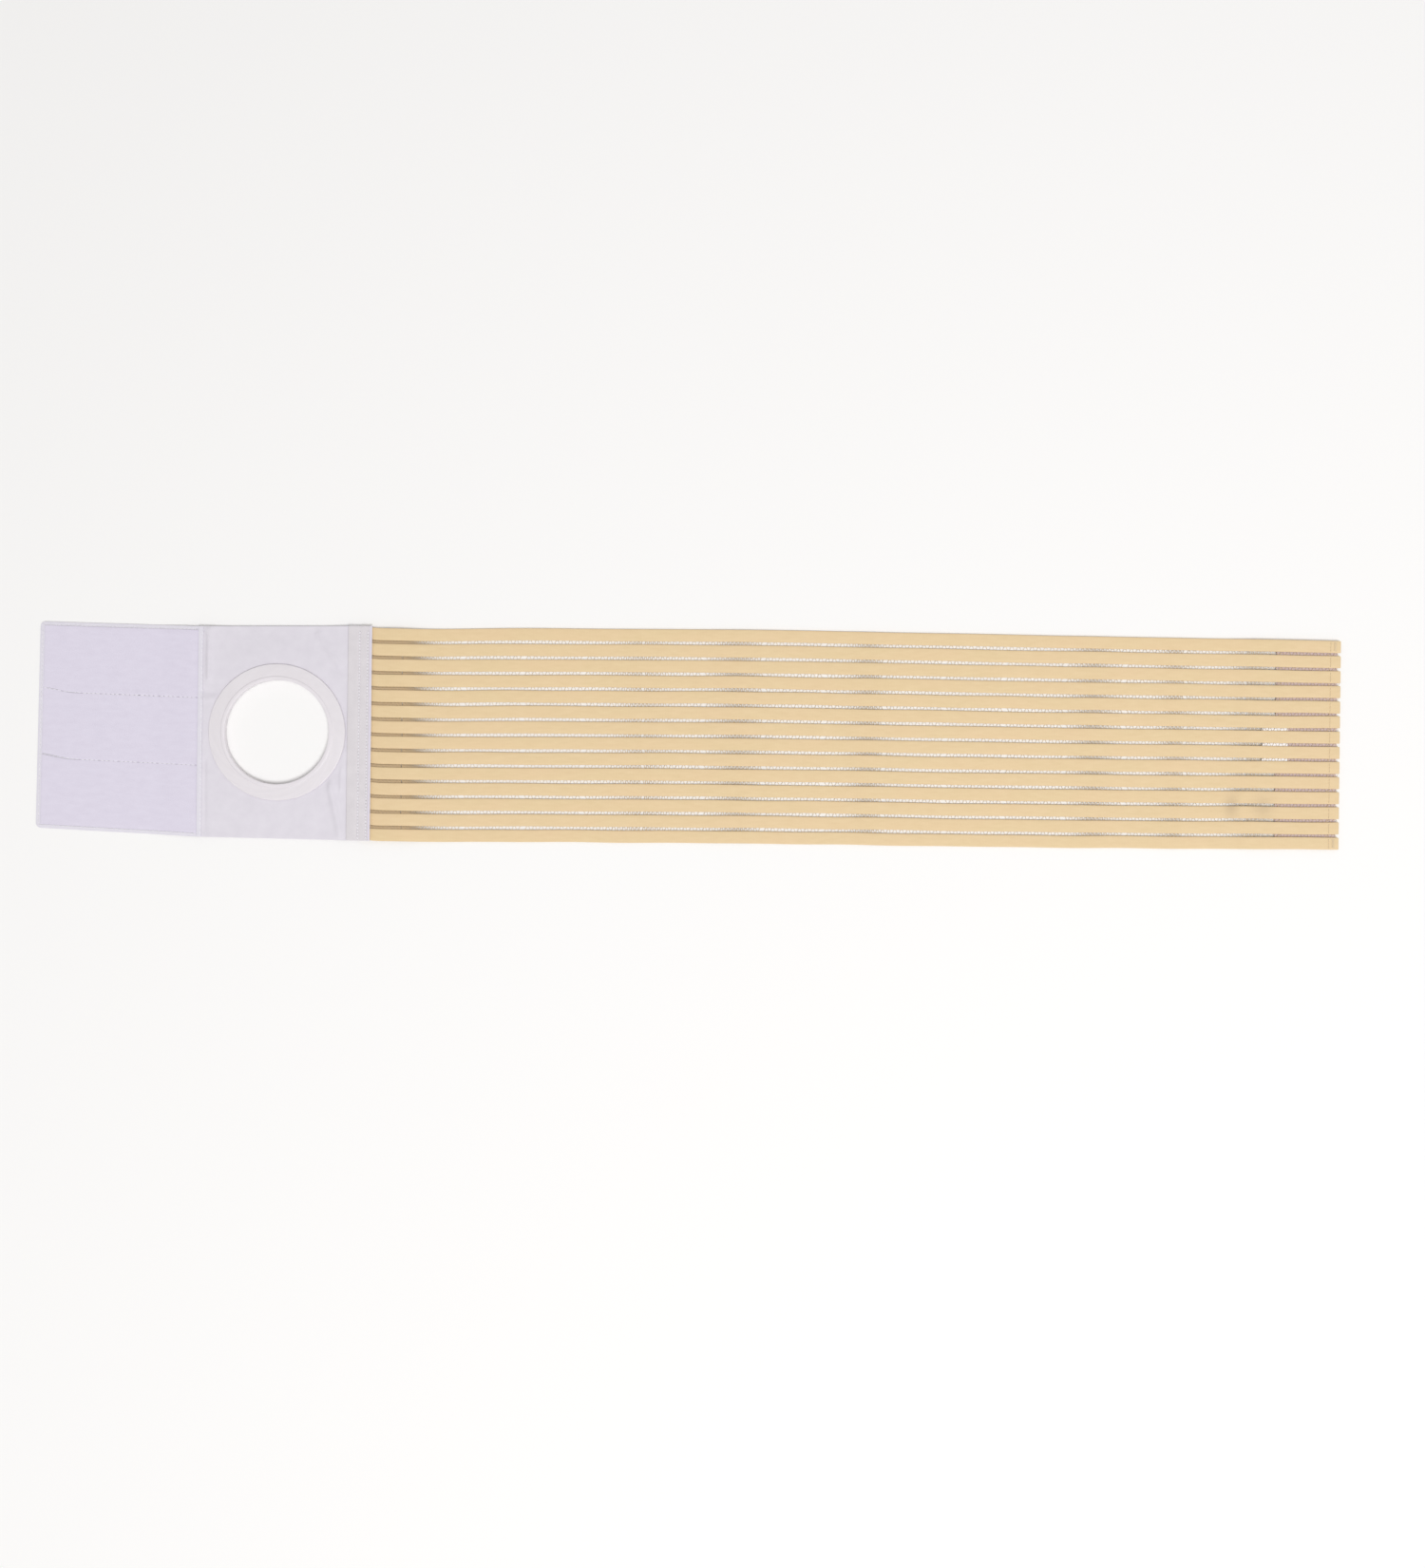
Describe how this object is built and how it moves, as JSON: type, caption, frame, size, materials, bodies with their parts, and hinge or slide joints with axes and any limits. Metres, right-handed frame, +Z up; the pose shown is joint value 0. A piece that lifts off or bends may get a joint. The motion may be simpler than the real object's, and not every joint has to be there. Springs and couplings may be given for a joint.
{
  "type": "ostomy support belt",
  "caption": "Flat wide elastic belt of parallel ribs with a ringed round opening in a cloth panel, a loop-faced tab at one end and a hook patch under the other.",
  "frame": {"origin": "the middle of the belt's outline, on the surface it lies on", "axes": "+X along the belt from the closure tab to the hook end, +Y across the belt, +Z up out of its outer face"},
  "size_m": [1, 0.165, 0.006],
  "materials": {
    "panel_cloth": "thin plain-woven cloth, pale lilac grey",
    "loop_cloth": "brushed loop pile, pale lilac",
    "ring_plastic": "soft satin, slightly translucent white",
    "elastic": "knitted elastic in flat ribs, light beige",
    "hook_tape": "moulded hook pile, pale pinkish lilac",
    "thread": "polyester sewing thread, white",
    "label": "blank satin ribbon, white"
  },
  "bodies": {
    "ring_panel": {"panel_front_fabric": "panel_cloth", "panel_back_fabric": "panel_cloth", "fold_stitch": "thread", "stoma_ring_front": "ring_plastic", "stoma_ring_back": "ring_plastic", "facing_front": "panel_cloth", "facing_back": "panel_cloth", "elastic_inset": "elastic", "facing_stitch_inner": "thread", "facing_stitch_outer": "thread"},
    "closure_tab": {"tab_backing": "loop_cloth", "loop_strip_lower": "loop_cloth", "loop_strip_middle": "loop_cloth", "loop_strip_upper": "loop_cloth", "tab_stitch_lower": "thread", "tab_stitch_upper": "thread", "tab_border_stitch": "thread"},
    "elastic_01": {"elastic_section_01": "elastic"},
    "elastic_02": {"elastic_section_02": "elastic"},
    "elastic_03": {"elastic_section_03": "elastic"},
    "elastic_04": {"elastic_section_04": "elastic"},
    "elastic_05": {"elastic_section_05": "elastic"},
    "elastic_06": {"elastic_section_06": "elastic"},
    "elastic_07": {"elastic_section_07": "elastic"},
    "elastic_08": {"elastic_section_08": "elastic"},
    "elastic_09": {"elastic_section_09": "elastic"},
    "elastic_10": {"elastic_section_10": "elastic"},
    "elastic_11": {"elastic_section_11": "elastic"},
    "elastic_12": {"elastic_section_12": "elastic"},
    "elastic_13": {"elastic_section_13": "elastic"},
    "elastic_14": {"elastic_section_14": "elastic"},
    "elastic_15": {"elastic_section_15": "elastic"},
    "hook_end": {"elastic_end": "elastic", "hook_patch": "hook_tape", "size_label": "label", "end_stitch_inner": "thread", "end_stitch_outer": "thread", "bar_tack_lower": "thread", "bar_tack_upper": "thread"}
  },
  "joints": [
    {"name": "tab_fold", "type": "hinge", "parent": "ring_panel", "child": "closure_tab", "pos_m": [-0.377, 0, 0.0041], "axis": [0, 1, 0], "range_deg": [0, 39.57]},
    {"name": "panel_bend", "type": "hinge", "parent": "ring_panel", "child": "elastic_01", "pos_m": [-0.2447, 0, 0.0045], "axis": [0, -1, 0], "range_deg": [0, 45.86]},
    {"name": "stretch", "type": "slide", "parent": "elastic_01", "child": "elastic_02", "axis": [1, 0, 0], "range_m": [0, 0.05], "stiffness_N_per_m": 300},
    {"name": "bend_02", "type": "hinge", "parent": "elastic_02", "child": "elastic_03", "pos_m": [-0.15198, 0, 0.0034], "axis": [0, -1, 0], "range_deg": [0, 37.79]},
    {"name": "stretch_2", "type": "slide", "parent": "elastic_03", "child": "elastic_04", "axis": [1, 0, 0], "range_m": [0, 0.05], "stiffness_N_per_m": 300},
    {"name": "bend_04", "type": "hinge", "parent": "elastic_04", "child": "elastic_05", "pos_m": [-0.05926, 0, 0.0034], "axis": [0, -1, 0], "range_deg": [0, 37.79]},
    {"name": "stretch_3", "type": "slide", "parent": "elastic_05", "child": "elastic_06", "axis": [1, 0, 0], "range_m": [0, 0.05], "stiffness_N_per_m": 300},
    {"name": "bend_06", "type": "hinge", "parent": "elastic_06", "child": "elastic_07", "pos_m": [0.03346, 0, 0.0034], "axis": [0, -1, 0], "range_deg": [0, 28.34]},
    {"name": "bend_07", "type": "hinge", "parent": "elastic_07", "child": "elastic_08", "pos_m": [0.07982, 0, 0.0034], "axis": [0, -1, 0], "range_deg": [0, 18.89]},
    {"name": "bend_08", "type": "hinge", "parent": "elastic_08", "child": "elastic_09", "pos_m": [0.12618, 0, 0.0034], "axis": [0, -1, 0], "range_deg": [0, 18.89]},
    {"name": "bend_09", "type": "hinge", "parent": "elastic_09", "child": "elastic_10", "pos_m": [0.17254, 0, 0.0034], "axis": [0, -1, 0], "range_deg": [0, 18.89]},
    {"name": "bend_10", "type": "hinge", "parent": "elastic_10", "child": "elastic_11", "pos_m": [0.2189, 0, 0.0034], "axis": [0, -1, 0], "range_deg": [0, 18.89]},
    {"name": "bend_11", "type": "hinge", "parent": "elastic_11", "child": "elastic_12", "pos_m": [0.26526, 0, 0.0034], "axis": [0, -1, 0], "range_deg": [0, 18.89]},
    {"name": "bend_12", "type": "hinge", "parent": "elastic_12", "child": "elastic_13", "pos_m": [0.31162, 0, 0.0034], "axis": [0, -1, 0], "range_deg": [0, 18.89]},
    {"name": "bend_13", "type": "hinge", "parent": "elastic_13", "child": "elastic_14", "pos_m": [0.35798, 0, 0.0034], "axis": [0, -1, 0], "range_deg": [0, 18.89]},
    {"name": "bend_14", "type": "hinge", "parent": "elastic_14", "child": "elastic_15", "pos_m": [0.40434, 0, 0.0034], "axis": [0, -1, 0], "range_deg": [0, 18.89]},
    {"name": "bend_15", "type": "hinge", "parent": "elastic_15", "child": "hook_end", "pos_m": [0.4507, 0, 0.0034], "axis": [0, -1, 0], "range_deg": [0, 19.49]}
  ],
  "couplings": [
    {"joint": "stretch_2", "follows": "stretch", "ratio": 1},
    {"joint": "stretch_3", "follows": "stretch", "ratio": 1}
  ]
}
